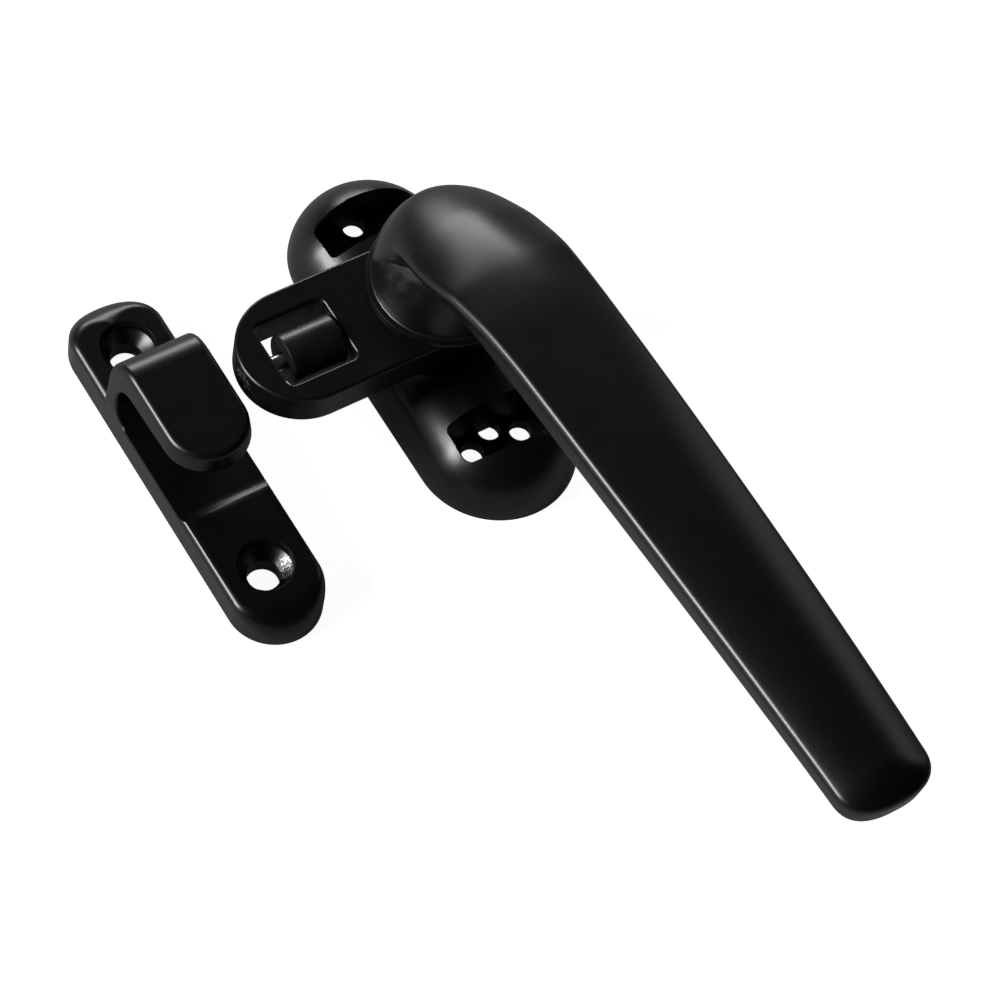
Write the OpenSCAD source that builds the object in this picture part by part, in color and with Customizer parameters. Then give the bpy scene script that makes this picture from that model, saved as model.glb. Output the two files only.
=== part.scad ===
// Casement window fastener with its hook keeper, laid out as a matched set.
// The origin is on the handle's turning axis, in the plane of the mounting face.
// +Z points away from the mounting face, the tongue points along -X towards the
// keeper, and the lever points along -Y. That is the locked position.

/* [Base] */
// Width of the base cover, mm
base_w = 28; // [26:0.5:32]
// Length of the base cover, mm
base_l = 70; // [66:1:80]
// Height of the domed cover at its ridge, mm
dome_h = 12.5; // [12:0.1:12.6]
// Thickness of the cover's wall, mm
cover_t = 2.5; // [2:0.1:3]
// Height of the round boss that the tongue turns on, mm
boss_h = 13.2; // [13:0.1:13.4]
// Radius of the round boss, mm
boss_r = 13; // [12.6:0.1:13.2]

/* [Screw pockets] */
// Distance from the axis to the pocket's inner wall, mm
pocket_in = 18.4; // [18:0.1:19]
// Distance from the axis to the pocket's bowed outer wall, mm
pocket_out = 27.2; // [26.8:0.1:27.6]
// Half the width of the pocket, mm
pocket_hw = 9.5; // [9:0.1:9.8]
// Radius of each screw hole in the mounting plate, mm
screw_r = 1.9; // [1.6:0.1:2.1]

/* [Mounting plate] */
// Thickness of the steel mounting plate, mm
plate_t = 2.6; // [2:0.1:2.6]

/* [Tongue] */
// Width of the tongue, mm
tongue_w = 21.7; // [20:0.1:22]
// Distance from the axis to the centre of the tongue's round tip, mm
tongue_reach = 27.4; // [26:0.1:27.6]
// Height of the tongue's underside, mm
tongue_z0 = 16.2; // [16:0.1:16.4]
// Height of the tongue's top face, mm
tongue_z1 = 22.6; // [22.4:0.1:22.8]

/* [Roller] */
// Diameter of the nylon roller, mm
roller_d = 9; // [8:0.1:9.4]
// Length of the nylon roller, mm
roller_l = 9.9; // [8:0.1:11]
// Diameter of the roller's pin, mm
pin_d = 3; // [2.5:0.1:3.2]

/* [Lever] */
// Radius of the lever's round foot, mm
foot_r = 13.4; // [13:0.1:13.6]
// Radius of the rounded elbow over the foot, mm
bulb_r = 13.5; // [13.2:0.1:13.6]
// Distance from the axis to the end of the blade, mm
lever_reach = 124.7; // [110:0.5:130]
// Width of the blade where it leaves the elbow, mm
blade_w0 = 20.4; // [19:0.1:21]
// Width of the blade near its end, mm
blade_w1 = 15.6; // [14:0.1:17]

/* [Keeper] */
// Width of the keeper's plate, mm
keeper_w = 16.4; // [15:0.1:17]
// Length of the keeper, mm
keeper_l = 69.5; // [69:0.5:74]
// Height of the keeper's plate, mm
keeper_h = 6.8; // [6.4:0.1:7.2]
// Distance from the handle's axis to the keeper's centre line, mm
keeper_gap = 47.4; // [47.4:0.1:60]
// Height of the hook's flat top, mm
hook_top = 20.25; // [19.5:0.05:21]
// Height of the underside of the hook's lip, mm
lip_z = 15.3; // [14.9:0.1:15.6]

/* [Hidden] */
$fn = 72;
eps = 0.01;
big = 200;

// Base: the ends of the stadium are centred here
end_y = (base_l - base_w) / 2;
ridge_hw = base_w / 2 - dome_h;
skirt_hw = 11.7;
plate_hw = 11.6;
pocket_wall = 1.5;
pocket_edge_r = 29;
inner_corner_r = 1.2;
outer_corner_r = 2;
side_holes_x = 4.7;
side_holes_y = 21.2;
inner_hole_y = 18.7;
outer_hole_y = 26.6;
plate_screw_y = 13.7;
screw_boss_r = 2.6;

// Turning axis, from the lowest piece upwards
recess_r = 10.6;
hub_z = 6.6;
bush_r = 6.5;
bush_bore_r = 5.05;
journal_r = 5;
washer_z = boss_h + 0.05;
washer_t = 1.1;
washer_r = 10.5;
hub_r = 10.4;
spindle_sq = 8;
key_sq = 6.6;
key_z0 = 4.85;
key_z1 = 6.4;
spindle_top = 36;
detent_r = 10.2;
detent_z = 4.9;
detent_t = 1.4;
ball_r = 1.5;
ball_ring_r = 8.5;
ball_z = 7.6;
spring_top = 11.9;
retaining_t = 0.8;
screw_d = 4;

// Tongue's window
window_x0 = -33;
window_x1 = -20.1;
window_hw = 6.3;
window_corner_r = 1.2;
roller_z = (tongue_z0 + tongue_z1) / 2;
roller_x1 = -20.7;

// Keeper
keeper_y0 = -37.66;
keeper_y1 = keeper_y0 + keeper_l;
keeper_end_r = keeper_w / 2;
keeper_edge_r = 1.4;
keeper_end_round = 6.4;
keeper_holes_y = [-25.95, 20.6];
keeper_hole_r = 2.8;
countersink_r = 4.7;
hook_back_y = 13.8;
hook_tip_y = -4.5;
hook_tip_r = 7.2;
hook_corner_r = 6.5;
mouth_floor = 6;
mouth_r = (lip_z - mouth_floor) / 2;
mouth_y = 10.4 - mouth_r;
mouth_step_y = -13.25;

// A bar of square section, centred on the axis
module square_bar(side, z0, z1) {
  translate([-side / 2, -side / 2, z0]) cube([side, side, z1 - z0]);
}

// A flat stadium: straight sides along Y and round ends
module stadium(hw, y_end, z0, z1) {
  translate([-hw, -y_end, z0]) cube([2 * hw, 2 * y_end, z1 - z0]);
  for (s = [-1, 1])
    translate([0, s * y_end, z0]) cylinder(r = hw, h = z1 - z0);
}

// Half of the dome's cross-section: a quarter round beside a flat ridge
module dome_section(r) {
  square([ridge_hw, r]);
  translate([ridge_hw, 0])
    intersection() {
      circle(r = r, $fn = 96);
      square([r, r]);
    }
}

// A domed stadium of quarter-round section
module dome(r) {
  rotate([90, 0, 0])
    translate([0, 0, -end_y])
      linear_extrude(2 * end_y) {
        dome_section(r);
        mirror([1, 0]) dome_section(r);
      }
  for (s = [-1, 1])
    translate([0, s * end_y, 0]) rotate_extrude($fn = 96) dome_section(r);
}

// Outline of the far pocket: straight inner wall, bowed outer wall, rounded corners
module pocket_outline(grow) {
  bow_y = pocket_out - pocket_edge_r;
  out_r = outer_corner_r + grow;
  in_r = inner_corner_r + grow;
  hw = pocket_hw + grow;
  y0 = pocket_in - grow;
  corner_x = pocket_hw - outer_corner_r;
  corner_y = bow_y + sqrt(pow(pocket_edge_r - outer_corner_r, 2) - pow(corner_x, 2));
  bow_x = corner_x * (pocket_edge_r + grow) / (pocket_edge_r - outer_corner_r);
  translate([-hw, y0 + in_r]) square([2 * hw, corner_y - y0 - in_r]);
  translate([-hw + in_r, y0]) square([2 * (hw - in_r), in_r + eps]);
  for (s = [-1, 1]) {
    translate([s * (hw - in_r), y0 + in_r]) circle(r = in_r, $fn = 32);
    translate([s * corner_x, corner_y]) circle(r = out_r, $fn = 32);
  }
  intersection() {
    translate([0, bow_y]) circle(r = pocket_edge_r + grow, $fn = 180);
    translate([-bow_x, corner_y - eps]) square([2 * bow_x, 20]);
  }
}

module both_ends() {
  children();
  mirror([0, 1, 0]) children();
}

// The die-cast cover: a hollow dome with two open pockets and a turning boss
module base_cover() {
  color("#1b1c1f")
    difference() {
      union() {
        dome(dome_h);
        cylinder(r = boss_r, h = boss_h);
      }
      // Hollow underside, less the walls and bosses that stand in it
      difference() {
        union() {
          translate([0, 0, -eps]) dome(dome_h - cover_t);
          stadium(skirt_hw, end_y, -1, plate_t + 0.1);
          translate([0, 0, -1]) cylinder(r = recess_r, h = hub_z + 1);
        }
        translate([0, 0, hub_z]) cylinder(r = 11.2, h = boss_h);
        both_ends() {
          translate([0, 0, plate_t]) linear_extrude(dome_h) pocket_outline(pocket_wall);
          translate([0, plate_screw_y, plate_t]) cylinder(r = screw_boss_r, h = dome_h);
        }
      }
      both_ends() {
        translate([0, 0, -1]) linear_extrude(big) pocket_outline(0);
        translate([0, plate_screw_y, 0]) cylinder(r = 1.27, h = 9.2, $fn = 32);
        translate([0, ball_ring_r, 0]) cylinder(r = ball_r + 0.1, h = spring_top + 0.1, $fn = 32);
      }
      translate([0, 0, -1]) cylinder(r = bush_r + 0.02, h = big);
    }
}

// Steel plate let into the underside of the cover, with the fixing holes
module mounting_plate() {
  color("#2a2b2e")
    difference() {
      stadium(plate_hw, end_y, 0, plate_t);
      translate([0, 0, -1]) cylinder(r = 6.5, h = 5);
      for (s = [-1, 1]) {
        for (t = [-1, 1])
          translate([t * side_holes_x, s * side_holes_y, -1]) cylinder(r = screw_r, h = 5);
        translate([0, s * inner_hole_y, -1]) cylinder(r = screw_r, h = 5);
        translate([0, s * outer_hole_y, -1]) cylinder(r = screw_r, h = 5);
        translate([0, s * plate_screw_y, -1]) cylinder(r = 1.6, h = 5);
        translate([0, s * plate_screw_y, -eps]) cylinder(r1 = 3.01, r2 = 1.6, h = 1.41);
      }
    }
}

// Two countersunk screws that hold the plate in the cover
module plate_screws() {
  color("silver")
    both_ends()
      translate([0, plate_screw_y, 0]) {
        difference() {
          translate([0, 0, 0.1]) cylinder(r1 = 2.88, r2 = 1.5, h = 1.38);
          translate([0, 0, -1]) cylinder(r = 1, h = 1.7, $fn = 6);
        }
        translate([0, 0, 1.4]) cylinder(r = 1.25, h = 7.4);
      }
}

// Nylon bush pressed into the cover
module pivot_bush() {
  color("ivory")
    difference() {
      translate([0, 0, hub_z]) cylinder(r = bush_r, h = boss_h - hub_z);
      cylinder(r = bush_bore_r, h = big);
    }
}

// Nylon washer between the cover and the tongue
module thrust_washer() {
  color("#222326")
    translate([0, 0, washer_z])
      difference() {
        cylinder(r = washer_r, h = washer_t);
        translate([0, 0, -1]) cylinder(r = journal_r + 0.2, h = 5);
      }
}

// Two steel balls that click into the detent plate
module detent_balls() {
  color("silver")
    both_ends()
      translate([0, ball_ring_r, ball_z]) sphere(r = ball_r, $fn = 48);
}

// Points round a wire at one step of a coil
function coil_ring(turn, coil_r, wire_r, z, sides) = [
  for (k = [0:sides - 1])
    let (a = 360 * k / sides, r = coil_r + wire_r * cos(a))
      [r * cos(360 * turn), r * sin(360 * turn), z + wire_r * sin(a)]
];

// A round wire wound into a coil
module coil(coil_r, wire_r, z0, z1, turns) {
  sides = 8;
  steps = 16 * turns;
  points = [
    for (i = [0:steps])
      each coil_ring(i / 16, coil_r, wire_r, z0 + (z1 - z0) * i / steps, sides)
  ];
  walls = [
    for (i = [0:steps - 1], k = [0:sides - 1])
      let (a = i * sides + k, b = i * sides + (k + 1) % sides)
        [a, b, b + sides, a + sides]
  ];
  first = [for (k = [sides - 1:-1:0]) k];
  last = [for (k = [0:sides - 1]) steps * sides + k];
  polyhedron(points = points, faces = concat([first], [last], walls));
}

// Two small coil springs that press on the balls
module detent_springs() {
  color("silver")
    both_ends()
      translate([0, ball_ring_r, 0])
        coil(1.1, 0.22, ball_z + ball_r + 0.23, spring_top - 0.25, 4);
}

// Cross-section of the keeper's plate, right half, rounded along its top edge
module keeper_section() {
  square([keeper_end_r, keeper_h - keeper_edge_r]);
  square([keeper_end_r - keeper_edge_r, keeper_h]);
  translate([keeper_end_r - keeper_edge_r, keeper_h - keeper_edge_r])
    circle(r = keeper_edge_r, $fn = 48);
}

// Side profile of the keeper's plate, drawn in Y and Z: its ends slope off in a large round
module keeper_side() {
  r = keeper_end_round;
  translate([keeper_y0 + r, 0]) square([keeper_l - 2 * r, keeper_h]);
  translate([keeper_y0, 0]) square([keeper_l, keeper_h - r]);
  for (y = [keeper_y0 + r, keeper_y1 - r])
    translate([y, keeper_h - r])
      intersection() {
        circle(r = r);
        translate([-r, 0]) square([2 * r, r]);
      }
}

// The keeper's plate, with round ends
module keeper_plate() {
  y0 = keeper_y0 + keeper_end_r;
  y1 = keeper_y1 - keeper_end_r;
  intersection() {
    union() {
      translate([0, y1, 0])
        rotate([90, 0, 0])
          linear_extrude(y1 - y0) {
            keeper_section();
            mirror([1, 0]) keeper_section();
          }
      for (y = [y0, y1])
        translate([0, y, 0]) rotate_extrude($fn = 96) keeper_section();
    }
    rotate([90, 0, 90])
      translate([0, 0, -keeper_w]) linear_extrude(2 * keeper_w) keeper_side();
  }
}

// Side profile of the hook, drawn in Y and Z
module hook_profile() {
  translate([hook_tip_y - hook_tip_r - 1, lip_z])
    square([hook_back_y - hook_corner_r - hook_tip_y + hook_tip_r + 1, hook_top - lip_z]);
  translate([0, 3]) square([hook_back_y, hook_top - hook_corner_r - 3]);
  translate([hook_back_y - hook_corner_r, hook_top - hook_corner_r])
    circle(r = hook_corner_r);
}

// One casting: a plate with two screw holes, and a hook that the tongue turns into
module keeper() {
  lip_hw = hook_tip_r + 0.4;
  color("#1b1c1f")
    translate([-keeper_gap, 0, 0])
      difference() {
        union() {
          keeper_plate();
          intersection() {
            rotate([90, 0, 90])
              translate([0, 0, -keeper_end_r]) linear_extrude(keeper_w) hook_profile();
            rotate([90, 0, 0])
              translate([0, 0, -big / 2])
                linear_extrude(big)
                  polygon([[-keeper_end_r, 0], [keeper_end_r, 0], [keeper_end_r, keeper_h],
                           [hook_tip_r, hook_top], [-hook_tip_r, hook_top],
                           [-keeper_end_r, keeper_h]]);
            union() {
              translate([-big / 2, hook_tip_y, 0]) cube([big, big, big]);
              translate([0, hook_tip_y, lip_z - 1])
                cylinder(r1 = lip_hw, r2 = hook_tip_r, h = hook_top - lip_z + 1);
            }
          }
        }
        // The mouth, with its round inner end and its floor let into the plate
        rotate([90, 0, 90])
          translate([0, 0, -big / 2])
            linear_extrude(big) {
              translate([mouth_step_y, mouth_floor])
                square([mouth_y - mouth_step_y, lip_z - mouth_floor]);
              translate([mouth_y, mouth_floor + mouth_r]) circle(r = mouth_r);
            }
        for (y = keeper_holes_y)
          translate([0, y, 0]) {
            translate([0, 0, -1]) cylinder(r = keeper_hole_r, h = 10);
            translate([0, 0, 3])
              cylinder(r1 = keeper_hole_r, r2 = countersink_r, h = countersink_r - keeper_hole_r);
            translate([0, 0, 3 + countersink_r - keeper_hole_r])
              cylinder(r = countersink_r, h = 10);
          }
      }
}

// A point on a smooth curve through four control points
function bezier(p, t) =
  pow(1 - t, 3) * p[0] + 3 * pow(1 - t, 2) * t * p[1]
  + 3 * (1 - t) * t * t * p[2] + pow(t, 3) * p[3];
function curve(p, steps) = [for (i = [0:steps]) bezier(p, i / steps)];

// Side profile of the lever, drawn in Y and Z: up the back, over the elbow,
// along the top of the blade, round its end and back along the underside
module lever_profile() {
  back_y = bulb_r - 1.4;
  tip = -lever_reach;
  polygon(concat(
    [[foot_r - 1, tongue_z1 + 1.2], [back_y, 27]],
    curve([[back_y, 27], [back_y, 34], [9.5, 36.7], [4.6, 39.1]], 10),
    curve([[4.6, 39.1], [-9, 46], [-16, 49.4], [-34, 50.9]], 12),
    curve([[-34, 50.9], [-60, 53], [-90, 57], [tip + 8, 56.7]], 12),
    curve([[tip + 8, 56.7], [tip + 3, 56.6], [tip, 55.6], [tip, 52.6]], 6),
    curve([[tip, 52.6], [tip, 50.6], [tip + 2, 49.9], [tip + 5, 49.8]], 6),
    curve([[tip + 5, 49.8], [-90, 49.4], [-60, 46], [-28, 43.3]], 12),
    curve([[-28, 43.3], [-16, 42.3], [-12.4, 38], [-11.6, 31]], 12),
    [[-foot_r + 1, tongue_z1 + 1.2]]
  ));
}

// Half the lever's plan outline, drawn in X and Y
module lever_plan() {
  tip = -lever_reach;
  half = concat(
    [[0, foot_r]],
    [for (a = [80:-10:0]) [bulb_r * cos(a), -1.4 + bulb_r * sin(a)]],
    curve([[bulb_r, -1.4], [bulb_r, -9], [blade_w0 / 2, -10], [blade_w0 / 2, -20]], 10),
    curve([[blade_w0 / 2, -20], [blade_w0 / 2, -50], [blade_w1 / 2 + 1, -90],
           [blade_w1 / 2, tip + 7]], 10),
    curve([[blade_w1 / 2, tip + 7], [blade_w1 / 2 - 0.4, tip + 2.4], [5.5, tip],
           [0, tip]], 8)
  );
  polygon(half);
  mirror([1, 0]) polygon(half);
}

// The die-cast lever: a round foot, a rounded elbow and a long crowned blade
module lever() {
  foot_z = tongue_z1;
  color("#1b1c1f")
    difference() {
      union() {
        translate([0, 0, foot_z]) cylinder(r = foot_r, h = 1.2);
        translate([0, 0, foot_z + 1.1]) cylinder(r1 = foot_r - 0.6, r2 = 12, h = 4);
        intersection() {
          rotate([90, 0, 90]) translate([0, 0, -big / 2]) linear_extrude(big) lever_profile();
          linear_extrude(big) lever_plan();
        }
      }
      square_bar(spindle_sq + 0.1, foot_z - 1, spindle_top + 0.1);
    }
}

// The tongue: a flat bar with a round tip, a hub below and a window for the roller
module tongue() {
  hw = tongue_w / 2;
  wx = window_x1 - window_x0;
  color("#1b1c1f")
    difference() {
      union() {
        translate([-tongue_reach, -hw, tongue_z0])
          cube([tongue_reach, tongue_w, tongue_z1 - tongue_z0]);
        for (x = [-tongue_reach, 0])
          translate([x, 0, tongue_z0]) cylinder(r = hw, h = tongue_z1 - tongue_z0);
        translate([0, 0, washer_z + washer_t + 0.05])
          cylinder(r = hub_r, h = tongue_z0 - washer_z - washer_t + 1);
      }
      translate([0, 0, tongue_z0 - 1])
        linear_extrude(10) {
          translate([window_x0, -window_hw + window_corner_r])
            square([wx, 2 * (window_hw - window_corner_r)]);
          translate([window_x0 + window_corner_r, -window_hw])
            square([wx - 2 * window_corner_r, 2 * window_hw]);
          for (x = [window_x0 + window_corner_r, window_x1 - window_corner_r], s = [-1, 1])
            translate([x, s * (window_hw - window_corner_r)])
              circle(r = window_corner_r, $fn = 32);
        }
      square_bar(spindle_sq + 0.1, 0, big);
      translate([-35.6, 0, roller_z]) rotate([0, 90, 0])
        cylinder(r = pin_d / 2 + 0.01, h = 18.2);
    }
}

// Steel spindle: square through the tongue and lever, round in the bush,
// and a smaller square below that carries the detent plate
module spindle() {
  color("silver")
    difference() {
      union() {
        square_bar(spindle_sq, washer_z + washer_t + 0.05, spindle_top);
        translate([0, 0, key_z1]) cylinder(r = journal_r, h = washer_z + washer_t + 0.1 - key_z1);
        square_bar(key_sq, key_z0, key_z1 + eps);
      }
      cylinder(r = screw_d / 2 + 0.02, h = 17);
    }
}

// Steel disc keyed on the spindle, with a running groove and four dimples
module detent_plate() {
  color("silver")
    difference() {
      translate([0, 0, detent_z]) cylinder(r = detent_r, h = detent_t);
      square_bar(key_sq + 0.1, 0, 10);
      translate([0, 0, ball_z])
        rotate_extrude($fn = 96) translate([ball_ring_r, 0]) circle(r = ball_r + 0.08, $fn = 48);
      for (a = [0:90:270])
        rotate([0, 0, a]) translate([ball_ring_r, 0, ball_z - 0.1]) sphere(r = ball_r + 0.2, $fn = 48);
    }
}

// Plain steel washer under the spindle
module retaining_washer() {
  color("silver")
    translate([0, 0, key_z0 - retaining_t])
      difference() {
        cylinder(r = 7, h = retaining_t);
        translate([0, 0, -1]) cylinder(r = screw_d / 2 + 0.15, h = 5);
      }
}

// Split spring washer under the screw's head
module spring_washer() {
  color("silver")
    translate([0, 0, key_z0 - 2 * retaining_t])
      difference() {
        cylinder(r = 3.6, h = retaining_t);
        translate([0, 0, -1]) cylinder(r = screw_d / 2 + 0.15, h = 5);
        translate([2, -0.2, -1]) cube([3, 0.4, 5]);
      }
}

// Pan-head screw that clamps the turning stack from below
module spindle_screw() {
  head_top = key_z0 - 2 * retaining_t;
  color("silver")
    difference() {
      union() {
        translate([0, 0, head_top - 2.2]) cylinder(r = 3.8, h = 2.2);
        translate([0, 0, head_top - 0.1]) cylinder(r = screw_d / 2, h = 12.5);
      }
      for (a = [0, 90])
        rotate([0, 0, a]) translate([-2, -0.45, head_top - 3]) cube([4, 0.9, 2]);
    }
}

// Steel pin pressed through the tongue, which the roller turns on
module roller_pin() {
  color("silver")
    translate([-35.5, 0, roller_z]) rotate([0, 90, 0]) cylinder(d = pin_d, h = 18);
}

// Nylon roller
module roller() {
  color("#26272a")
    translate([roller_x1 - roller_l, 0, roller_z])
      rotate([0, 90, 0])
        difference() {
          cylinder(d = roller_d, h = roller_l);
          translate([0, 0, -1]) cylinder(r = pin_d / 2 + 0.06, h = big);
        }
}

base_cover();
mounting_plate();
plate_screws();
pivot_bush();
thrust_washer();
detent_balls();
detent_springs();
keeper();
lever();
tongue();
spindle();
detent_plate();
retaining_washer();
spring_washer();
spindle_screw();
roller_pin();
roller();
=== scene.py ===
import math
import bmesh
import bpy
from mathutils import Matrix, Vector


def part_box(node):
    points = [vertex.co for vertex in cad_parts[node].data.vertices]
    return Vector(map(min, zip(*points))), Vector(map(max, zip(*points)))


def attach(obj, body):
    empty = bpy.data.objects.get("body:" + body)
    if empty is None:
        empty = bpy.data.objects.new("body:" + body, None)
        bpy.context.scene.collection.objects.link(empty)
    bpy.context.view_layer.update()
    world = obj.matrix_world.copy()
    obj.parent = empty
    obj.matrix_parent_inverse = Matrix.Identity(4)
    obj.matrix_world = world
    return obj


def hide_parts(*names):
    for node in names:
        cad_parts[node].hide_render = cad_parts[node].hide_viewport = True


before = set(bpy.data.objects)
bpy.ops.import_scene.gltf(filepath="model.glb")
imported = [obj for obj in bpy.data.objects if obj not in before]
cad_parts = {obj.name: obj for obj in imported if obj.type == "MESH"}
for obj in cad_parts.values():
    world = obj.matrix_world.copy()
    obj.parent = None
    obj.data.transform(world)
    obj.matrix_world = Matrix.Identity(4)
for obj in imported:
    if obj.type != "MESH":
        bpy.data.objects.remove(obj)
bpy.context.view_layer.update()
scene = bpy.context.scene

# ---------------------------------------------------------------- camera, floor and lights
# A camera on a long lens looks steeply down on the set, which lies on a pale sweep.
# Soft boxes stand to the left, to the right and behind, and the sweep glows a little.
CAMERA_AT = Vector((-0.2453, -0.2879, 0.5869))
AZIMUTH, ELEVATION, ROLL = (math.radians(a) for a in (-42.86, 59.0, 13.69))
camera_data = bpy.data.cameras.new("camera")
camera_data.sensor_width = 36
camera_data.lens = 148.33
camera_data.shift_x = 0.00775
camera_data.shift_y = -0.0005
camera = bpy.data.objects.new("camera", camera_data)
back = Vector((math.sin(AZIMUTH) * math.cos(ELEVATION), -math.cos(AZIMUTH) * math.cos(ELEVATION),
               math.sin(ELEVATION)))
right = Vector((math.cos(AZIMUTH), math.sin(AZIMUTH), 0))
up = back.cross(right)
turned_right = right * math.cos(ROLL) + up * math.sin(ROLL)
turned_up = up * math.cos(ROLL) - right * math.sin(ROLL)
camera.matrix_world = Matrix((turned_right, turned_up, back)).transposed().to_4x4()
camera.location = CAMERA_AT
scene.collection.objects.link(camera)
scene.camera = camera

floor_bm = bmesh.new()
bmesh.ops.create_grid(floor_bm, x_segments=1, y_segments=1, size=3.0)
floor_mesh = bpy.data.meshes.new("floor")
floor_bm.to_mesh(floor_mesh)
floor_bm.free()
floor = bpy.data.objects.new("floor", floor_mesh)
scene.collection.objects.link(floor)
floor_paint = bpy.data.materials.new("floor_paint")
floor_paint.use_nodes = True
paint = floor_paint.node_tree.nodes["Principled BSDF"]
paint.inputs["Base Color"].default_value = (0.3, 0.3, 0.3, 1)
paint.inputs["Roughness"].default_value = 0.9
paint.inputs["Emission Color"].default_value = (1, 1, 1, 1)
seen = floor_paint.node_tree.nodes.new("ShaderNodeLightPath")
glow = floor_paint.node_tree.nodes.new("ShaderNodeMapRange")
glow.inputs["To Min"].default_value, glow.inputs["To Max"].default_value = 0.05, 0.95
floor_paint.node_tree.links.new(seen.outputs["Is Camera Ray"], glow.inputs["Value"])
floor_paint.node_tree.links.new(glow.outputs["Result"], paint.inputs["Emission Strength"])
floor.data.materials.append(floor_paint)


def soft_box(name, place, aim, width, height, power):
    """A rectangular soft light at place, facing aim."""
    data = bpy.data.lights.new(name, "AREA")
    data.shape = "RECTANGLE"
    data.size, data.size_y, data.energy = width, height, power
    lamp = bpy.data.objects.new(name, data)
    lamp.location = place
    lamp.rotation_euler = (Vector(aim) - Vector(place)).to_track_quat("-Z", "Y").to_euler()
    scene.collection.objects.link(lamp)


middle = (-0.01, -0.05, 0.02)
soft_box("left_box", (-1.25, 0.4, 0.62), middle, 0.75, 0.5, 30)
soft_box("right_box", (1.2, 0.3, 0.6), middle, 1.0, 0.5, 1.1)
soft_box("back_box", (0.4, 1.25, 0.45), middle, 0.7, 0.4, 6)
world = bpy.data.worlds.new("room")
world.use_nodes = True
world.node_tree.nodes["Background"].inputs["Color"].default_value = (0.8, 0.86, 1, 1)
world.node_tree.nodes["Background"].inputs["Strength"].default_value = 0.025
scene.world = world
scene.view_settings.view_transform = "Standard"

# ---------------------------------------------------------------- base cover
# The cover is a hollow zinc die casting, a long dome with a turning boss and two open
# screw pockets, coated in satin black. Its parting edges are broken by tumbling.


def add_node(tree, kind, **values):
    """A shader node with its input sockets set by name."""
    made = tree.nodes.new(kind)
    for socket, value in values.items():
        made.inputs[socket.replace("_", " ")].default_value = value
    return made


def grain(tree, scale, detail=2.0, stretch=None):
    """Noise on the piece's own coordinates: scale is in waves to the metre."""
    place = tree.nodes.new("ShaderNodeTexCoord")
    noise = add_node(tree, "ShaderNodeTexNoise", Scale=scale, Detail=detail)
    source = place.outputs["Object"]
    if stretch:
        mapping = add_node(tree, "ShaderNodeMapping", Scale=stretch)
        tree.links.new(source, mapping.inputs["Vector"])
        source = mapping.outputs["Vector"]
    tree.links.new(source, noise.inputs["Vector"])
    return noise.outputs["Fac"]


def spread(tree, source, low, high, start=0.3, end=0.7):
    """Maps a noise onto the range from low to high."""
    made = add_node(tree, "ShaderNodeMapRange")
    made.inputs["From Min"].default_value, made.inputs["From Max"].default_value = start, end
    made.inputs["To Min"].default_value, made.inputs["To Max"].default_value = low, high
    tree.links.new(source, made.inputs["Value"])
    return made.outputs["Result"]


def tint(tree, source, dark, light):
    """Mixes two colours by a mask."""
    made = tree.nodes.new("ShaderNodeMix")
    made.data_type = "RGBA"
    made.inputs[6].default_value, made.inputs[7].default_value = (*dark, 1), (*light, 1)
    tree.links.new(source, made.inputs[0])
    return made.outputs[2]


def relief(tree, source, height, below=None):
    """Turns a noise into bumps of about height, in metres, on top of the relief below."""
    made = add_node(tree, "ShaderNodeBump", Strength=1.0, Distance=height)
    tree.links.new(source, made.inputs["Height"])
    if below:
        tree.links.new(below, made.inputs["Normal"])
    return made.outputs["Normal"]


def finish_material(name, dark, light, shine, metallic=0.0, ripple=0.0, pore=0.0,
                    ripple_scale=1500, pore_scale=7000, stretch=None):
    """A finish with two close shades, a range of roughness, and coarse and fine relief."""
    material = bpy.data.materials.new(name)
    material.use_nodes = True
    tree = material.node_tree
    shader = tree.nodes["Principled BSDF"]
    shader.inputs["Metallic"].default_value = metallic
    patches = grain(tree, 260, 4.0)
    tree.links.new(tint(tree, spread(tree, patches, 0, 1), dark, light), shader.inputs["Base Color"])
    fine = grain(tree, pore_scale, 3.0, stretch)
    rough = spread(tree, fine, shine[0], shine[1])
    tree.links.new(rough, shader.inputs["Roughness"])
    coarse = relief(tree, grain(tree, ripple_scale, 1.0, stretch), ripple)
    tree.links.new(relief(tree, fine, pore, coarse), shader.inputs["Normal"])
    return material


def carve(bm, tool, operation):
    """Cuts the tool from a shape, or joins it on. Both are closed solids."""
    pair = []
    for part in (bm, tool):
        mesh = bpy.data.meshes.new("part")
        part.to_mesh(mesh)
        part.free()
        pair.append(bpy.data.objects.new("part", mesh))
        scene.collection.objects.link(pair[-1])
    cut = pair[0].modifiers.new("cut", "BOOLEAN")
    cut.operation, cut.object, cut.solver = operation, pair[1], "EXACT"
    whole = bmesh.new()
    whole.from_mesh(pair[0].evaluated_get(bpy.context.evaluated_depsgraph_get()).to_mesh())
    for part in pair:
        bpy.data.objects.remove(part)
    return whole


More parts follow.
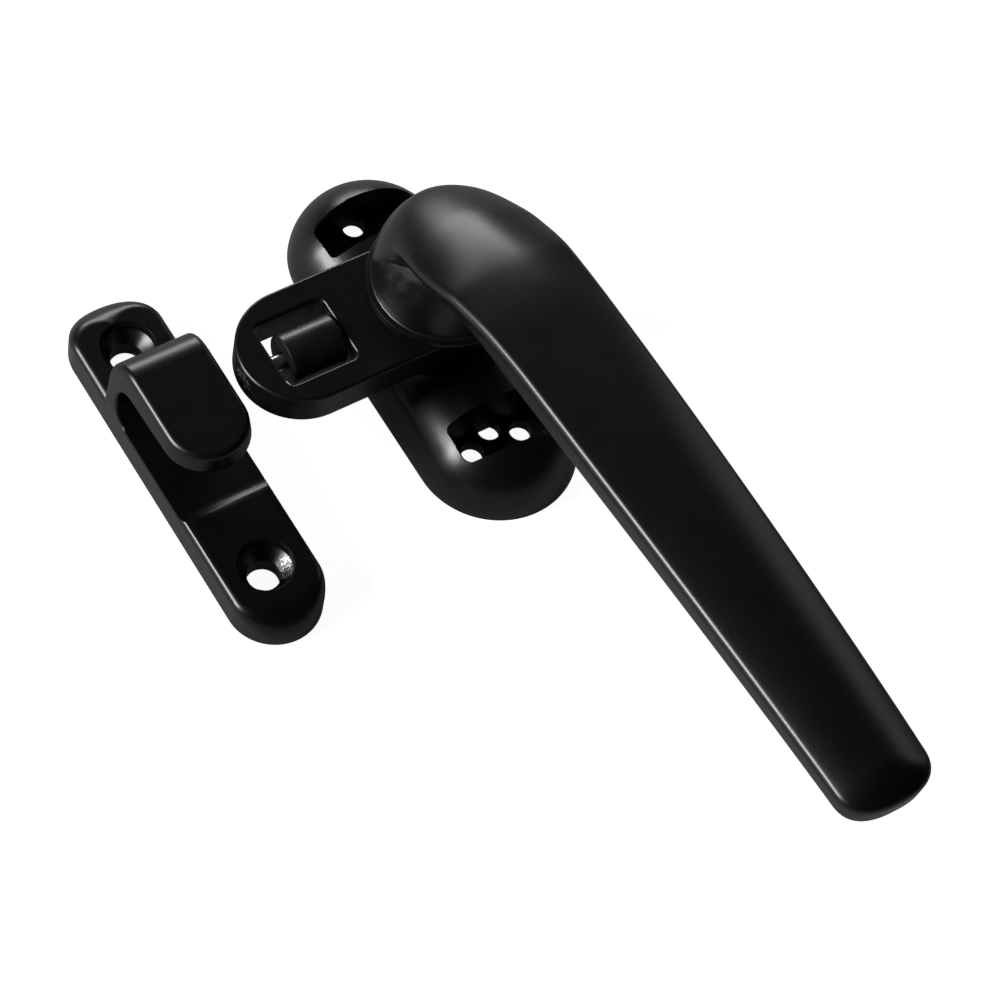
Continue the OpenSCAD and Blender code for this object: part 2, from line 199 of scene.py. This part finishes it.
def show_metal(material, centre, radius, flecks, cover_up):
    """Lets bare zinc show near a point, in flecks of so many to the metre."""
    tree = material.node_tree
    shader = tree.nodes["Principled BSDF"]
    place = tree.nodes.new("ShaderNodeTexCoord")
    near = tree.nodes.new("ShaderNodeVectorMath")
    near.operation = "DISTANCE"
    near.inputs[1].default_value = [c / 1000 for c in centre]
    tree.links.new(place.outputs["Object"], near.inputs[0])
    reach = spread(tree, near.outputs["Value"], 1, 0, radius * 0.0005, radius * 0.001)
    fleck = spread(tree, grain(tree, flecks, 3.0), 0, 1, cover_up, cover_up + 0.06)
    both = tree.nodes.new("ShaderNodeMath")
    both.operation = "MULTIPLY"
    tree.links.new(reach, both.inputs[0])
    tree.links.new(fleck, both.inputs[1])
    for name, value in (("Base Color", (0.3, 0.295, 0.29, 1)), ("Metallic", 1.0), ("Roughness", 0.38)):
        socket = shader.inputs[name]
        mix = tree.nodes.new("ShaderNodeMix")
        mix.data_type = "RGBA" if name == "Base Color" else "FLOAT"
        first, second, out = (6, 7, 2) if name == "Base Color" else (2, 3, 0)
        if socket.links:
            tree.links.new(socket.links[0].from_socket, mix.inputs[first])
        else:
            mix.inputs[first].default_value = socket.default_value
        mix.inputs[second].default_value = value
        tree.links.new(both.outputs["Value"], mix.inputs[0])
        tree.links.new(mix.outputs[out], socket)


def cad_copy(*nodes):
    """A merged copy of CAD nodes, in metres, with its flat areas made whole."""
    bm = bmesh.new()
    for node in nodes:
        bm.from_mesh(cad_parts[node].data)
    bmesh.ops.remove_doubles(bm, verts=bm.verts, dist=1e-5)
    bmesh.ops.dissolve_degenerate(bm, edges=bm.edges, dist=1e-5)
    bmesh.ops.dissolve_limit(bm, angle_limit=math.radians(0.4), verts=bm.verts, edges=bm.edges)
    return bm


def break_edges(bm, width, segments=3, over=40, where=lambda place: True, clamp=True):
    """Rounds the edges that turn by more than over degrees, where the rule holds."""
    sharp = [e for e in bm.edges if len(e.link_faces) == 2
             and math.degrees(e.calc_face_angle(0)) > over
             and where((e.verts[0].co + e.verts[1].co) / 2 * 1000)]
    bmesh.ops.bevel(bm, geom=sharp, offset=width / 1000, offset_type="OFFSET", affect="EDGES",
                    segments=segments, profile=0.5, material=-1, clamp_overlap=clamp)


def new_piece(name, bm, body, nodes, material, crease=30, weighted=True):
    """Makes a mesh a named piece that rides on a body and stands for its CAD nodes."""
    mesh = bpy.data.meshes.new(name)
    bm.to_mesh(mesh)
    bm.free()
    piece = bpy.data.objects.new(name, mesh)
    scene.collection.objects.link(piece)
    mesh.shade_smooth()
    mesh.set_sharp_from_angle(angle=math.radians(crease))
    mesh.materials.append(material)
    if weighted:
        even = piece.modifiers.new("even_normals", "WEIGHTED_NORMAL")
        even.keep_sharp = True
    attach(piece, body)
    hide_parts(*nodes)
    return piece


BLACK_SHADES = ((0.0018, 0.0018, 0.0028), (0.0032, 0.0032, 0.0048))
COAT_SHINE = (0.27, 0.35)
COAT_RELIEF = {"ripple": 0.000006, "pore": 0.0000012}
satin_black = finish_material("satin_black", *BLACK_SHADES, COAT_SHINE, **COAT_RELIEF)
COVER_MERGE = 0.00014
cover = cad_copy("base_cover")
bmesh.ops.remove_doubles(cover, verts=cover.verts, dist=COVER_MERGE)
bmesh.ops.dissolve_degenerate(cover, edges=cover.edges, dist=1e-5)
break_edges(cover, 0.3, over=40, clamp=True)
new_piece("base_casting", cover, "base", ["base_cover"], satin_black)

# ---------------------------------------------------------------- mounting plate
# A pressed steel plate, blackened, is let into the cover's underside. Ten punched holes
# give a choice of fixing screws, and their upper edges are rolled over by the punch.
blackened = finish_material("blackened_steel", (0.016, 0.016, 0.018), (0.03, 0.03, 0.033),
                            (0.34, 0.5), metallic=0.6, ripple=0.00001, pore=0.000003)
plate = cad_copy("mounting_plate")
break_edges(plate, 0.22, segments=2)
new_piece("backing_plate", plate, "base", ["mounting_plate"], blackened)

# ---------------------------------------------------------------- tongue
# A flat zinc casting, coated in satin black, with a round tip, a hub below and a window
# for the roller. The pin's bore is staked over at the tip, where the coating is chipped.
CHIP = (-38.25, -0.2, 19.5)
tongue = cad_copy("tongue")
break_edges(tongue, 0.55, over=50, clamp=False)
stake = bmesh.new()
bmesh.ops.create_cone(stake, cap_ends=True, segments=32, radius1=0.00155, radius2=0.0013,
                      depth=0.002, matrix=Matrix.Rotation(math.radians(90), 4, "Y"))
bmesh.ops.translate(stake, vec=(CHIP[0] / 1000 - 0.0007, 0, 0.0194), verts=stake.verts)
tongue = carve(tongue, stake, "DIFFERENCE")
chipped_black = finish_material("chipped_black", *BLACK_SHADES, COAT_SHINE, **COAT_RELIEF)
show_metal(chipped_black, CHIP, 2.2, 1500, 0.52)
new_piece("tongue_casting", tongue, "handle", ["tongue"], chipped_black)

# ---------------------------------------------------------------- roller and its pin
# The roller is turned from black nylon with small chamfers, and spins on a steel pin
# that is pressed through the tongue from its tip.


def turned(bm, profile, axis_height, steps=96):
    """Spins a profile of (along x, radius) about a line along x at the given height."""
    points = [bm.verts.new((x, 0, axis_height + r)) for x, r in profile]
    edges = [bm.edges.new(pair) for pair in zip(points, points[1:])]
    bmesh.ops.spin(bm, geom=points + edges, cent=(0, 0, axis_height), axis=(1, 0, 0),
                   angle=math.tau, steps=steps, use_merge=True)
    bmesh.ops.remove_doubles(bm, verts=bm.verts, dist=1e-4)
    bmesh.ops.recalc_face_normals(bm, faces=bm.faces)
    bmesh.ops.scale(bm, vec=(0.001, 0.001, 0.001), verts=bm.verts)
    return bm


nylon = finish_material("black_nylon", (0.004, 0.004, 0.005), (0.011, 0.011, 0.013),
                        (0.2, 0.42), ripple=0.000012, pore=0.000004,
                        ripple_scale=900, stretch=(4.0, 1.0, 1.0))
low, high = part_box("roller")
x0, x1 = low.x * 1000, high.x * 1000
axis_z = (low.z + high.z) * 500
out_r = (high.z - low.z) * 500
bore_r = 1.56
roller = turned(bmesh.new(), [(x0, bore_r), (x0, out_r - 0.5), (x0 + 0.18, out_r - 0.18),
                              (x0 + 0.5, out_r), (x0 + 3.3, out_r), (x0 + 6.6, out_r),
                              (x1 - 0.5, out_r), (x1 - 0.18, out_r - 0.18), (x1, out_r - 0.5),
                              (x1, bore_r), (x0, bore_r)], axis_z)
new_piece("roller_barrel", roller, "roller", ["roller"], nylon)
bright = finish_material("bright_steel", (0.5, 0.5, 0.51), (0.68, 0.68, 0.69), (0.2, 0.36),
                         metallic=1.0, ripple=0.000004, pore=0.000002, stretch=(6.0, 1.0, 1.0))
low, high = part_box("roller_pin")
x0, x1 = low.x * 1000, high.x * 1000
pin_r = (high.z - low.z) * 500
pin = turned(bmesh.new(), [(x0, 0), (x0, pin_r - 0.4), (x0 + 0.4, pin_r), (x1 - 0.4, pin_r),
                           (x1, pin_r - 0.4), (x1, 0)], axis_z, 48)
new_piece("roller_axle", pin, "handle", ["roller_pin"], bright)

# ---------------------------------------------------------------- keeper
# One zinc casting, coated in satin black: a plate with domed ends and two countersunk
# holes, and a hook whose mouth takes the tongue and its roller.
rubbed_black = finish_material("rubbed_black", *BLACK_SHADES, COAT_SHINE, **COAT_RELIEF)
show_metal(rubbed_black, (-43.6, -26.6, 3.9), 2.3, 3200, 0.5)
KEEPER_X = -47.4
KEEPER_HALF, KEEPER_TOP = 8.2, 6.8
KEEPER_ENDS = (-29.46, 23.64)
END_STEPS, ROUND_STEPS = 40, 8


def grid_sheet(bm, across, along, place):
    """A grid whose crossings are carried to place(i, j)."""
    made = bmesh.ops.create_grid(bm, x_segments=across, y_segments=along, size=1)["verts"]
    for vert in made:
        vert.co = place(round((vert.co.x + 1) / 2 * across), round((vert.co.y + 1) / 2 * along))


def close_up(bm):
    """Joins a sheet's seams, fills its open ends and turns its faces outwards."""
    bmesh.ops.remove_doubles(bm, verts=bm.verts, dist=1e-3)
    bmesh.ops.dissolve_degenerate(bm, edges=bm.edges, dist=1e-4)
    bmesh.ops.holes_fill(bm, edges=[e for e in bm.edges if len(e.link_faces) == 1], sides=0)
    bmesh.ops.recalc_face_normals(bm, faces=bm.faces)


def plate_point(i, j):
    """Round the keeper's plate by i, and up its side and over its edge by j."""
    turn = i % (2 * END_STEPS + 2)
    end = 0 if turn > END_STEPS else 1
    angle = math.pi * ((turn - (0 if end else END_STEPS + 1)) / END_STEPS + (0 if end else 1))
    edge_r = 1.4 + 5.0 * math.sin(angle) ** 2
    if j < 2:
        inset, z = 0.25 * (1 - j), 0.25 * j
    else:
        a = math.pi / 2 * (j - 2) / ROUND_STEPS
        inset, z = edge_r * (1 - math.cos(a)), KEEPER_TOP - edge_r * (1 - math.sin(a))
    reach = KEEPER_HALF - inset
    return Vector((reach * math.cos(angle), KEEPER_ENDS[end] + reach * math.sin(angle), z))


keeper = bmesh.new()
grid_sheet(keeper, 2 * END_STEPS + 2, 2 + ROUND_STEPS, plate_point)
close_up(keeper)
scoop = bmesh.new()
ridge = [(-15.2, 8.5), (-14.9, 6.92), (-14.5, 6.8), (-14.1, 6.76), (-13.6, 6.66), (-13.1, 6.48),
         (-12.6, 6.28), (-12.1, 6.12), (-11.6, 6.03), (-11.0, 6.0)]
ridge += [(5.75 + 4.68 * math.sin(math.radians(b)), 10.65 - 4.68 * math.cos(math.radians(b)))
          for b in range(4, 64, 6)] + [(9.9, 8.5)]
outline = [scoop.verts.new((-12, y, z)) for y, z in ridge]
face = scoop.faces.new(outline)
pushed = bmesh.ops.extrude_face_region(scoop, geom=[face])["geom"]
bmesh.ops.translate(scoop, vec=(24, 0, 0), verts=[v for v in pushed if isinstance(v, bmesh.types.BMVert)])
bmesh.ops.recalc_face_normals(scoop, faces=scoop.faces)
keeper = carve(keeper, scoop, "DIFFERENCE")

# The hook's ribbon: its outer and inner lines, and its rounded edges
LIP_Y, LIP_Z, HOOK_TOP = -4.5, 15.3, 20.25
MOUTH_Y, MOUTH_R, MOUTH_Z = 5.75, 4.65, 10.65
BACK_Y, BACK_R = 13.8, 6.5


def hook_half_width(z):
    """Half the ribbon's width, which narrows a little from the plate up to the hook's top."""
    return 8.19 - max(0, z - KEEPER_TOP) / (HOOK_TOP - KEEPER_TOP) * 0.99


def hook_section(out_y, out_z, in_y, in_z, edge, lower_edge):
    """Half a ring round the hook's ribbon, from its outer middle to its inner middle."""
    outer, inner = Vector((0, out_y, out_z)), Vector((0, in_y, in_z))
    up_way = outer - inner
    thick = up_way.length
    up_way.normalize()
    wide, narrow = hook_half_width(in_z), hook_half_width(out_z)
    line = [(0, thick), (narrow * 0.5, thick)]
    for k in range(7):
        a = math.pi / 2 * (1 - k / 6)
        line.append((narrow - edge * (1 - math.cos(a)), thick - edge * (1 - math.sin(a))))
    for k in range(6):
        a = -math.pi / 2 * k / 5
        line.append((wide - lower_edge * (1 - math.cos(a)), lower_edge * (1 + math.sin(a))))
    line += [(wide * 0.5, 0), (0, 0)]
    return [inner + up_way * u + Vector((x, 0, 0)) for x, u in line]


ribbon = []
for k in range(7):
    y = LIP_Y + (MOUTH_Y - LIP_Y) * k / 6
    ribbon.append(hook_section(LIP_Y + (BACK_Y - BACK_R - LIP_Y) * k / 6, HOOK_TOP, y, LIP_Z,
                               1.2, 1.5 - 0.9 * k / 6))
for k in range(1, 15):
    a = math.pi / 2 * k / 14
    ribbon.append(hook_section(BACK_Y - BACK_R + BACK_R * math.sin(a),
                               HOOK_TOP - BACK_R + BACK_R * math.cos(a),
                               MOUTH_Y + MOUTH_R * math.sin(a), MOUTH_Z + MOUTH_R * math.cos(a),
                               1.2, 0.6))
for k in range(1, 13):
    a = math.pi / 2 * (1 + k / 13)
    ribbon.append(hook_section(BACK_Y, HOOK_TOP - BACK_R - 9.75 * k / 12,
                               MOUTH_Y + MOUTH_R * math.sin(a), MOUTH_Z + MOUTH_R * math.cos(a),
                               1.2 - 0.5 * k / 12, 0.6))
ribbon.append(hook_section(BACK_Y, 3.5, 6.2, 5.2, 0.7, 0.6))
around = len(ribbon[0]) - 1
LIP_STEPS = 32


def ribbon_point(i, j):
    """Crossing i of the ribbon's ring j: down the right side, and back up the left."""
    p = ribbon[j][i if i <= around else 2 * around - i]
    return Vector((p.x if i <= around else -p.x, p.y, p.z))


def lip_point(i, j):
    """The ribbon's round end: the first half ring swept about the lip's centre."""
    p, angle = ribbon[0][i], math.pi * j / LIP_STEPS
    return Vector((p.x * math.cos(angle), LIP_Y - p.x * math.sin(angle), p.z))


hook = bmesh.new()
grid_sheet(hook, 2 * around, len(ribbon) - 1, ribbon_point)
grid_sheet(hook, around, LIP_STEPS, lip_point)
close_up(hook)
keeper = carve(keeper, hook, "UNION")
for hole_y in (-25.95, 20.6):
    drill = bmesh.new()
    side = [(2.8, -1), (2.8, 3), (4.7, 4.9), (4.7, 6.45), (4.78, 6.68), (5.0, 6.82), (5.0, 9)]
    points = [drill.verts.new((r, 0, z)) for r, z in [(0, -1)] + side + [(0, 9)]]
    edges = [drill.edges.new(two) for two in zip(points, points[1:])]
    bmesh.ops.spin(drill, geom=points + edges, cent=(0, 0, 0), axis=(0, 0, 1), angle=math.tau,
                   steps=64, use_merge=True)
    close_up(drill)
    bmesh.ops.translate(drill, vec=(0, hole_y, 0), verts=drill.verts)
    keeper = carve(keeper, drill, "DIFFERENCE")
bmesh.ops.translate(keeper, vec=(KEEPER_X, 0, 0), verts=keeper.verts)
bmesh.ops.scale(keeper, vec=(0.001, 0.001, 0.001), verts=keeper.verts)
new_piece("keeper_casting", keeper, "base", ["keeper"], rubbed_black, crease=35)

# ---------------------------------------------------------------- lever
# One zinc casting, coated in satin black: a round foot, a column under a hooded elbow,
# and a long blade with a crowned top, soft shoulders and a flat underside.
RIM_ROUND = 0.4
SIDE_DRAFT = -0.4
SIDE_ANGLE = math.radians(95)
SHOULDER_R = 1.35
BAND_STEPS, SHOULDER_STEPS, CROWN_STEPS, COLUMN_STEPS = 3, 6, 14, 14


def blade_edge(half_width, rise, band):
    """From the rim to the middle of the blade's top: (distance out, height) pairs."""
    slope = 0.55
    for _ in range(6):
        inset = SIDE_DRAFT + SHOULDER_R * (math.sin(SIDE_ANGLE) - math.sin(slope))
        shoulder = band + SHOULDER_R * (math.cos(slope) - math.cos(SIDE_ANGLE))
        slope = math.atan(2 * (rise - shoulder) / (half_width - inset))
    line = [(half_width - RIM_ROUND, 0), (half_width - 0.12, 0.12), (half_width, RIM_ROUND)]
    for k in range(1, BAND_STEPS + 1):
        f = k / BAND_STEPS
        line.append((half_width - SIDE_DRAFT * f, RIM_ROUND + (band - RIM_ROUND) * f))
    for k in range(1, SHOULDER_STEPS + 1):
        a = SIDE_ANGLE + (slope - SIDE_ANGLE) * k / SHOULDER_STEPS
        line.append((half_width - SIDE_DRAFT - SHOULDER_R * (math.sin(SIDE_ANGLE) - math.sin(a)),
                     band + SHOULDER_R * (math.cos(a) - math.cos(SIDE_ANGLE))))
    for k in range(1, CROWN_STEPS + 1):
        f = k / CROWN_STEPS
        line.append(((half_width - inset) * (1 - f),
                     shoulder + (rise - shoulder) * (1 - (1 - f) ** 2)))
    return line


def hood_edge(half_width, rise, start, bearings):
    """The same line where the elbow is a round hood, at the blade line's bearings."""
    line = [(half_width - RIM_ROUND, 0), (half_width - 0.12, 0.12)]
    for b in bearings[2:]:
        a = start + (math.pi / 2 - start) * b / (math.pi / 2)
        line.append((half_width * math.cos(a) / math.cos(start),
                     rise * (math.sin(a) - math.sin(start)) / (1 - math.sin(start))))
    return line


def column_edge(half_width, depth, start):
    """From beside the rim round the column to its front: (distance out, depth) pairs."""
    line = []
    for k in range(COLUMN_STEPS + 1):
        a = -start + (math.pi / 2 + start) * k / COLUMN_STEPS
        line.append((half_width * math.cos(a) / math.cos(start),
                     depth * (math.sin(a) + math.sin(start)) / (1 + math.sin(start))))
    return line


def spline(keys, t):
    """A smooth run through rows of numbers, t counted in rows."""
    k = min(int(t), len(keys) - 2)
    f = t - k
    a, b, c, d = (keys[min(max(k + o, 0), len(keys) - 1)] for o in (-1, 0, 1, 2))
    return [0.5 * (2 * q + (r - p) * f + (2 * p - 5 * q + 4 * r - s) * f * f
                   + (3 * q - p - 3 * r + s) * f ** 3) for p, q, r, s in zip(a, b, c, d)]


# Rows from the blade to the foot: outer point (y, z), rim point (y, z), inner point (y, z),
# half-width at the rim, of the column, start angles, hood share, side band, bulge
elbow = [
    (-24.0, 49.9, -24.0, 42.95, -24.0, 42.95, 10.05, 9.0, 0, 0, 0.1, 4.4, 0.4),
    (-16.8, 48.6, -16.8, 41.8, -16.8, 41.7, 10.05, 9.2, 0, 0, 0.22, 4.0, 1.0),
    (-11.05, 47.0, -14.15, 41.07, -14.5, 40.5, 10.0, 9.1, 0, 0, 0.42, 3.7, 1.65),
    (-4.5, 44.6, -11.2, 40.1, -13.0, 39.0, 9.95, 9.0, 0, 0, 0.68, 3.4, 2.35),
    (1.2, 42.0, -8.2, 39.2, -12.5, 38.1, 9.9, 8.8, 0, 0, 0.9, 3.2, 2.55),
    (8.4, 37.6, -3.9, 37.0, -12.2, 37.0, 9.9, 8.7, 0, 0, 1.0, 3.0, 1.8),
    (10.7, 34.2, 0.9, 34.0, -12.1, 34.0, 11.3, 10.57, 11.5, 4, 1.0, 3.0, 0.7),
    (12.0, 30.0, 4.6, 30.0, -12.1, 30.0, 11.7, 10.7, 27, 22, 1.0, 3.0, 0.1),
    (12.3, 26.0, 7.4, 26.0, -12.2, 26.0, 10.2, 9.6, 40.7, 37.6, 1.0, 3.0, 0.0),
    (12.5, 23.9, 8.9, 23.9, -12.3, 23.9, 8.9, 8.55, 51, 46, 1.0, 3.0, 0.0),
]
TIP_Y, TIP_LENGTH, TIP_SQUARENESS = -118.5, 5.8, 2.6
BLADE_FROM, BLADE_RUN = -16.8, 102.7
BLADE_END_Y, BLADE_STEPS, ELBOW_STEPS = -34, 48, 7
hood_bearings = [math.atan2(h / 6.8, x / 10.05) for x, h in blade_edge(10.05, 6.8, 3.0)]


def section(out_y, out_z, rim_y, rim_z, in_y, in_z, half, column, start, inner_start, hood, band,
            bulge):
    """Half a ring round the lever, from the middle of its top to the middle below."""
    toward = Vector((0, out_y - rim_y, out_z - rim_z))
    rise = toward.length
    toward.normalize()
    rim = Vector((0, rim_y, rim_z))
    blade = blade_edge(half, rise, band)
    if hood > 0:
        shell = hood_edge(half, rise, math.radians(start), hood_bearings)
        blade = [(p * (1 - hood) + r * hood, q * (1 - hood) + s * hood)
                 for (p, q), (r, s) in zip(blade, shell)]
    blade = [(x + bulge * 4 * (h / rise) * (1 - h / rise) * x / half, h) for x, h in blade]
    line = [rim + toward * h + Vector((x, 0, 0)) for x, h in reversed(blade)]
    inward = Vector((0, in_y - rim_y, in_z - rim_z))
    return line + [rim + inward * u + Vector((x, 0, 0))
                   for x, u in column_edge(column, 1, math.radians(inner_start))]


def blade_row(y):
    """One row of the same numbers for the straight part of the blade."""
    s = (BLADE_FROM - y) / BLADE_RUN
    rim_z = 42 + 7.7 * (1 - (1 - min(s, 1)) ** 1.6)
    rise = spline([(7.05,), (7.2,), (7.2,), (7.1,), (6.9,)], 4 * min(max((s - 0.167) / 0.833, 0), 1))[0]
    half = 10.1 - 2.3 * s ** 1.45
    band = 4.6 - 1.2 * (s - 0.167) / 0.833
    return (y, rim_z + rise, y, rim_z, y, rim_z, half, half - 1, 0, 0, 0, band, 0)


halves = [section(*blade_row(TIP_Y + (BLADE_END_Y - TIP_Y) * k / BLADE_STEPS))
          for k in range(BLADE_STEPS)]
elbow = [blade_row(BLADE_END_Y - 10), blade_row(BLADE_END_Y)] + elbow
halves += [section(*spline(elbow, 1 + k / ELBOW_STEPS))
           for k in range(ELBOW_STEPS * (len(elbow) - 2) + 1)]
for radius, z in ((12.42, 23.7), (12.55, 23.58), (12.8, 23.52), (13.2, 23.5), (13.36, 23.44),
                  (13.4, 23.3), (13.4, 22.75), (13.25, 22.61)):
    neck = []
    for p in halves[-1]:
        bearing = math.atan2(p.y, p.x)
        neck.append(Vector((radius * math.cos(bearing), radius * math.sin(bearing), z)))
    neck[0].x = neck[-1].x = 0
    halves.append(neck)
count = len(halves[0]) - 1


def lever_point(i, j):
    """Crossing i of ring j: down the right side, and back up the left."""
    if i <= count:
        return halves[j][i]
    p = halves[j][2 * count - i]
    return Vector((-p.x, p.y, p.z))


TIP_TURNS = 36
tip_row = blade_row(TIP_Y)


def tip_point(i, j):
    """The blade's round end: the half ring swept about the tip's centre."""
    angle = math.pi * j / TIP_TURNS
    reach = ((abs(math.cos(angle)) / tip_row[6]) ** TIP_SQUARENESS
             + (abs(math.sin(angle)) / TIP_LENGTH) ** TIP_SQUARENESS) ** (-1 / TIP_SQUARENESS)
    edge = section(*tip_row[:6], reach, reach - 1, *tip_row[8:])
    p = edge[i]
    return Vector((p.x * math.cos(angle), TIP_Y - p.x * math.sin(angle), p.z))


lever = bmesh.new()
grid_sheet(lever, 2 * count, len(halves) - 1, lever_point)
grid_sheet(lever, count, TIP_TURNS, tip_point)
close_up(lever)
bmesh.ops.scale(lever, vec=(0.001, 0.001, 0.001), verts=lever.verts)
new_piece("lever_casting", lever, "handle", ["lever"], satin_black, crease=50,
          weighted=False)

# ---------------------------------------------------------------- bush, washer and balls
# The small parts inside keep their exact shapes: a pale nylon bush, a black nylon washer,
# and turned, pressed and wound parts of plated steel.
pale_nylon = finish_material("pale_nylon", (0.62, 0.58, 0.48), (0.72, 0.69, 0.6), (0.35, 0.5),
                             ripple=0.000006, pore=0.000003)
for name, finish in (("pivot_bush", pale_nylon), ("thrust_washer", nylon), ("spindle", bright),
                     ("detent_plate", bright), ("detent_balls", bright),
                     ("detent_springs", bright), ("plate_screws", bright),
                     ("retaining_washer", bright), ("spring_washer", bright),
                     ("spindle_screw", bright)):
    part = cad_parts[name]
    part.data.materials.clear()
    part.data.materials.append(finish)
